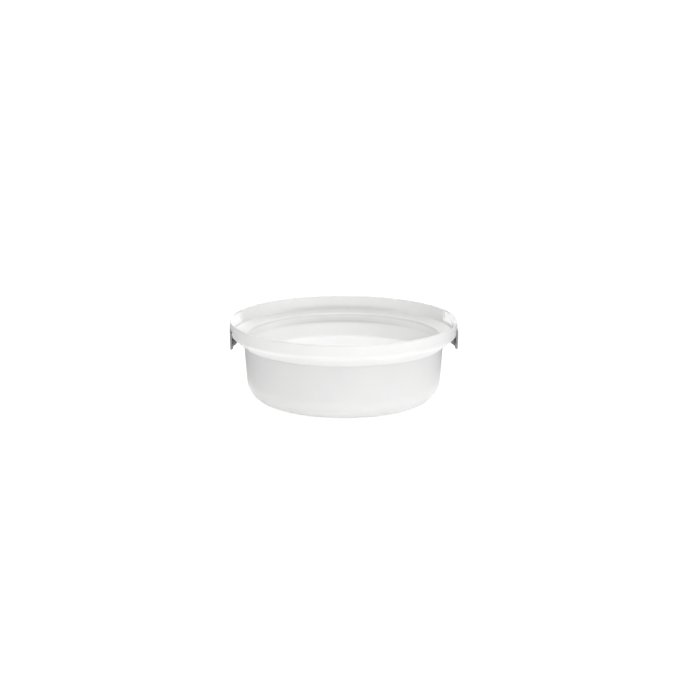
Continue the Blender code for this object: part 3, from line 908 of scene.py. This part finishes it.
def milky_polypropylene(colours):
    """Moulded in unpigmented polypropylene: milky, so light spreads in it; its thin walls get a painted
    glow.

    The body and shoulder are painted a little greyer than the collar, as painted shade, and the rim's top
    is painted darker still. A soft band of painted shade lies on the collar's inside, above the ledge and
    the tray's rim. Behind the clips the wall is half as thick, and a painted glow there stands for light
    coming through it.
    """
    material, shader = moulded_plastic(
        "milky_polypropylene_moulded", colours.milky,
        roughness=0.33, scatter=0.9, grain_size=0.9, grain_height=0.012, flow_height=0.25,
    )
    tree = material.node_tree
    inside = seen_inside(tree)
    radius, x, y, height = distances(tree)
    # Painted shade: body and shoulder darker than the collar, and a dark line round the rim's top
    with_painted_shade(tree, shader, 1.0, along(tree, height, BOWL_PAINTED_SHADE_BY_HEIGHT))
    # Painted shade: a grey band on the collar's inside, strongest at the front and back
    painted_shade_front_and_back = product(tree, inside, along(tree, x, LEDGE_PAINTED_SHADE_BY_X))
    with_painted_shade(tree, shader, painted_shade_front_and_back, along(tree, height, LEDGE_PAINTED_SHADE_BY_HEIGHT))
    # Painted glow: the thin pocket walls give off light, as if it came through them from outside
    thin = along(tree, radius, POCKET_WALL_BY_RADIUS)
    wide = along(tree, y, POCKET_BY_Y)
    above = along(tree, height, POCKET_ABOVE_LEDGE)
    # Near the pocket's ends the painted glow stops below the rim
    below = along(tree, height, POCKET_BELOW_RIM)
    ends = along(tree, y, POCKET_ENDS_BY_Y)
    top = multiplied(tree, ends, WHITE, below)
    glow = product(tree, inside, thin, wide, above, top, POCKET_PAINTED_GLOW)
    tree.links.new(glow, shader.inputs["Emission Strength"])
    return material


def white_polypropylene(colours):
    """Moulded in white-pigmented polypropylene: brighter, and lets a little light through.

    The tray's floor is bright. Its wall and rim are painted greyer, as painted shade where the bowl's wall
    stands close behind them, and a soft line of painted shade shows where the bowl's shoulder meets its
    wall. A very weak painted glow stands for the light that comes through its sides.
    """
    material, shader = moulded_plastic(
        "white_polypropylene_moulded", colours.white,
        roughness=0.36, scatter=0.5, grain_size=0.9, grain_height=0.012, flow_height=0.2,
    )
    tree = material.node_tree
    inside = seen_inside(tree)
    _, x, _, height = distances(tree)
    # Painted shade: the tray's wall greyer, with a dark line, strongest at the front and back
    painted_shade_front_and_back = product(tree, inside, along(tree, x, TRAY_SHADE_LINE_BY_X))
    with_painted_shade(tree, shader, painted_shade_front_and_back, along(tree, height, TRAY_SHADE_LINE_BY_HEIGHT))
    # Painted shade: the tray's rim darker, except near the clips
    painted_rim_shade_mask = product(tree, inside, along(tree, x, TRAY_RIM_SHADE_BY_X))
    with_painted_shade(tree, shader, painted_rim_shade_mask, along(tree, height, TRAY_RIM_SHADE_BY_HEIGHT))
    # Painted glow: the tray's sides give off a little light
    glow = product(tree, inside, along(tree, x, TRAY_SIDES_BY_X), TRAY_PAINTED_GLOW)
    tree.links.new(glow, shader.inputs["Emission Strength"])
    return material


def grey_polypropylene(colours):
    """Moulded in a spark-eroded tool: a fine dull grain that breaks up the highlights."""
    return moulded_plastic(
        "grey_polypropylene_textured", colours.grey,
        roughness=0.46, scatter=0.0, grain_size=0.7, grain_height=0.04, flow_height=0.1,
    )[0]


def paper_sweep(colours, studio):
    """Matt paper of the studio's lit table, seen as white, with the object's faint shadow.

    Only the object's gloss sees black cards round it, which draw the dark edges of white goods.
    """
    material = empty_material("white_paper_matt")
    tree = material.node_tree
    path = add_node(tree, "ShaderNodeLightPath", {}, {}).outputs
    fibres = relief(tree, noise(tree, PAPER_FIBRE, {"Detail": 2.0}), PAPER_RELIEF)
    colour = linear(colours.paper)
    seen_colour = [channel * studio.floor_shade for channel in colour[:3]] + [1.0]
    pairs = []
    for shade, glow in ((colour, studio.table), (seen_colour, studio.floor_white)):
        paper = add_node(tree, "ShaderNodeBsdfDiffuse", {}, {"Color": shade, "Normal": fibres})
        lit = add_node(tree, "ShaderNodeEmission", {}, {"Color": WHITE, "Strength": glow})
        parts = {0: paper.outputs["BSDF"], 1: lit.outputs["Emission"]}
        pairs.append(add_node(tree, "ShaderNodeAddShader", {}, parts).outputs["Shader"])
    black = add_node(tree, "ShaderNodeBsdfDiffuse", {}, {"Color": CARD_BLACK}).outputs["BSDF"]
    away = along(tree, distances(tree)[0], ((CARDS_START, 0.0), (CARDS_FULL, studio.cards)))
    cards = product(tree, path["Is Glossy Ray"], away)
    lit = add_node(tree, "ShaderNodeMixShader", {}, {"Fac": cards, 1: pairs[0], 2: black}).outputs["Shader"]
    surface = add_node(tree, "ShaderNodeMixShader", {}, {"Fac": path["Is Camera Ray"], 1: lit, 2: pairs[1]})
    add_node(tree, "ShaderNodeOutputMaterial", {}, {"Surface": surface.outputs["Shader"]})
    return material


# Operators


class CHIPCONTAINER_OT_bowl(bpy.types.Operator):
    """Make the milky bowl with its ledge, pockets and hinge ears"""

    bl_idname = "chip_container.make_bowl"
    bl_label = "Make Bowl"

    def execute(self, context):
        settings = context.scene.chip_container
        bowl, clips = settings.bowl, settings.clips
        changes = [
            ("DIFFERENCE", pocket(bowl)),
            ("UNION", pad(bowl, clips)),
            ("UNION", pad_foot(bowl, clips)),
            ("DIFFERENCE", recess(bowl, clips)),
            ("DIFFERENCE", window(clips)),
            ("UNION", ear(bowl, clips)),
            ("DIFFERENCE", keyhole(bowl, clips)),
        ]
        piece = moulded("bowl_shell", bowl_body(bowl), changes, milky_polypropylene(settings.colours))
        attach(piece, "bowl")
        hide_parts("bowl")
        return {"FINISHED"}


class CHIPCONTAINER_OT_tray(bpy.types.Operator):
    """Make the white lift-out tray"""

    bl_idname = "chip_container.make_tray"
    bl_label = "Make Tray"

    def execute(self, context):
        settings = context.scene.chip_container
        body = tray_body(settings.bowl, settings.tray)
        piece = moulded("tray_shell", body, [], white_polypropylene(settings.colours))
        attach(piece, "inner_tray")
        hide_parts("inner_tray")
        return {"FINISHED"}


class CHIPCONTAINER_OT_clips(bpy.types.Operator):
    """Make both side clips with their hooks, hubs and axles"""

    bl_idname = "chip_container.make_clips"
    bl_label = "Make Clips"

    def execute(self, context):
        settings = context.scene.chip_container
        clips = settings.clips
        material = grey_polypropylene(settings.colours)
        for name in ("clip_right", "clip_left"):
            shapes = [
                ("UNION", clip_tab(clips)),
                ("DIFFERENCE", round_bar(clips.ear_radius + clips.hinge_gap, clips.lug_inner)),
                ("UNION", clip_lug(clips, 1.0)),
                ("UNION", clip_lug(clips, -1.0)),
                ("UNION", round_bar(clips.axle_radius, clips.lug_inner + OVERLAP)),
                ("UNION", clip_hook(clips)),
            ]
            plate = clip_plate(clips)
            if name == "clip_left":
                turned_half_round(plate)
                shapes = [(operation, turned_half_round(bm)) for operation, bm in shapes]
            piece = moulded(name + "_shell", plate, shapes, material)
            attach(piece, name)
            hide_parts(name)
        return {"FINISHED"}


class CHIPCONTAINER_OT_studio(bpy.types.Operator):
    """Set the white floor, the lamps, the surroundings and the camera"""

    bl_idname = "chip_container.set_studio"
    bl_label = "Set Studio"

    def execute(self, context):
        settings = context.scene.chip_container
        studio = settings.studio
        set_floor(settings.colours, studio)
        set_surroundings(context.scene, studio)
        for name, aside, raised, setting in LAMPS:
            set_lamp(name, aside, raised, getattr(studio, setting))
        set_camera(context.scene)
        context.scene.view_settings.view_transform = "Standard"
        return {"FINISHED"}


class VIEW3D_PT_chip_container(bpy.types.Panel):
    """Settings and steps of the chip container"""

    bl_label = "Chip Container"
    bl_space_type = "VIEW_3D"
    bl_region_type = "UI"
    bl_category = "Chip Container"

    def draw(self, context):
        settings = context.scene.chip_container
        for title, group, operator in (
            ("Bowl", settings.bowl, CHIPCONTAINER_OT_bowl),
            ("Tray", settings.tray, CHIPCONTAINER_OT_tray),
            ("Clips", settings.clips, CHIPCONTAINER_OT_clips),
            ("Colours", settings.colours, None),
            ("Studio", settings.studio, CHIPCONTAINER_OT_studio),
        ):
            box = self.layout.box()
            box.label(text=title)
            for name in group.__annotations__:
                box.prop(group, name)
            if operator:
                box.operator(operator.bl_idname)


# The studio

# Lamps: turned aside from the front and raised, in degrees, and the setting that holds the power
LAMPS = (
    ("key_lamp", 20.0, 20.0, "key"),
    ("front_lamp", 0.0, 45.0, "front"),
    ("right_lamp", 50.0, 45.0, "right"),
    ("back_lamp", 165.0, 45.0, "back"),
    ("top_lamp", 0.0, 88.0, "top"),
    ("side_lamp_left", -100.0, 15.0, "sides"),
    ("side_lamp_right", 100.0, 15.0, "sides"),
)
LAMP_DISTANCE = 3.0
LAMP_WIDTH = 1.8
FLOOR_RADIUS = 8.0
FLOOR_SEGMENTS = 96
# The paper lies this far below the foot ring, so that no two faces coincide
FLOOR_DROP = 0.1 * MM
# Camera fitted to the photograph: lens and sensor in mm, place in metres, turns in degrees
CAMERA_LENS = 221.9
CAMERA_SENSOR = 36.0
CAMERA_PLACE = (0.0066, -4.3421, 1.0676)
CAMERA_ASIDE = -1.5
CAMERA_DOWN = 13.15
CAMERA_ROLL = 0.16


def set_floor(colours, studio):
    """Round sheet of paper, wide enough to fill every view of the object."""
    remove_old("paper_floor")
    bm = bmesh.new()
    bmesh.ops.create_circle(bm, cap_ends=True, segments=FLOOR_SEGMENTS, radius=FLOOR_RADIUS)
    bmesh.ops.translate(bm, verts=bm.verts, vec=(0.0, 0.0, -FLOOR_DROP))
    floor = mesh_object(bm, "paper_floor")
    floor.data.materials.append(paper_sweep(colours, studio))


def set_surroundings(scene, studio):
    """White world behind the object, whose light on it is weaker."""
    world = bpy.data.worlds.get("studio_walls") or bpy.data.worlds.new("studio_walls")
    world.use_nodes = True
    tree = world.node_tree
    tree.nodes.clear()
    path = add_node(tree, "ShaderNodeLightPath", {}, {}).outputs["Is Camera Ray"]
    walls, seen = [
        add_node(tree, "ShaderNodeBackground", {}, {
            "Color": WHITE, "Strength": strength,
        }).outputs["Background"]
        for strength in (studio.surroundings, studio.white)
    ]
    surface = add_node(tree, "ShaderNodeMixShader", {}, {"Fac": path, 1: walls, 2: seen})
    add_node(tree, "ShaderNodeOutputWorld", {}, {"Surface": surface.outputs["Shader"]})
    scene.world = world


def set_lamp(name, aside, raised, watts):
    """Soft square lamp, turned aside from the front and raised, in degrees, and itself unseen."""
    remove_old(name)
    lamp = bpy.data.lights.new(name, "AREA")
    lamp.energy = watts
    lamp.size = LAMP_WIDTH
    holder = bpy.data.objects.new(name, lamp)
    around, up = math.radians(aside), math.radians(raised)
    flat = Vector((math.sin(around), -math.cos(around), 0.0))
    holder.location = (flat * math.cos(up) + Vector((0.0, 0.0, math.sin(up)))) * LAMP_DISTANCE
    target = Vector((0.0, 0.0, BOWL_HIGH.z / 2.0))
    holder.rotation_euler = (target - holder.location).to_track_quat("-Z", "Y").to_euler()
    holder.visible_camera = False
    bpy.context.scene.collection.objects.link(holder)


def set_camera(scene):
    """Camera far in front and a little above, as in the photograph."""
    remove_old("camera")
    camera = bpy.data.cameras.new("camera")
    camera.lens = CAMERA_LENS
    camera.sensor_width = CAMERA_SENSOR
    holder = bpy.data.objects.new("camera", camera)
    aside = Matrix.Rotation(math.radians(CAMERA_ASIDE), 4, "Z")
    place = Matrix.Translation(CAMERA_PLACE)
    tilt = Matrix.Rotation(math.radians(90.0 - CAMERA_DOWN), 4, "X")
    roll = Matrix.Rotation(math.radians(CAMERA_ROLL), 4, "Z")
    holder.matrix_world = aside @ place @ tilt @ roll
    scene.collection.objects.link(holder)
    scene.camera = holder


CLASSES = (
    BowlSizes,
    TraySizes,
    ClipSizes,
    FinishColours,
    StudioLevels,
    ContainerSettings,
    CHIPCONTAINER_OT_bowl,
    CHIPCONTAINER_OT_tray,
    CHIPCONTAINER_OT_clips,
    CHIPCONTAINER_OT_studio,
    VIEW3D_PT_chip_container,
)


def register():
    for item in CLASSES:
        bpy.utils.register_class(item)
    bpy.types.Scene.chip_container = PointerProperty(type=ContainerSettings)


def unregister():
    del bpy.types.Scene.chip_container
    for item in reversed(CLASSES):
        bpy.utils.unregister_class(item)


def corners(box):
    """Lowest and highest corner of a box as plain lists of numbers."""
    return [list(corner) for corner in box]


def main():
    register()
    bpy.ops.chip_container.make_bowl()
    bpy.ops.chip_container.make_tray()
    bpy.ops.chip_container.make_clips()
    bpy.ops.chip_container.set_studio()


if __name__ == "__main__":
    main()
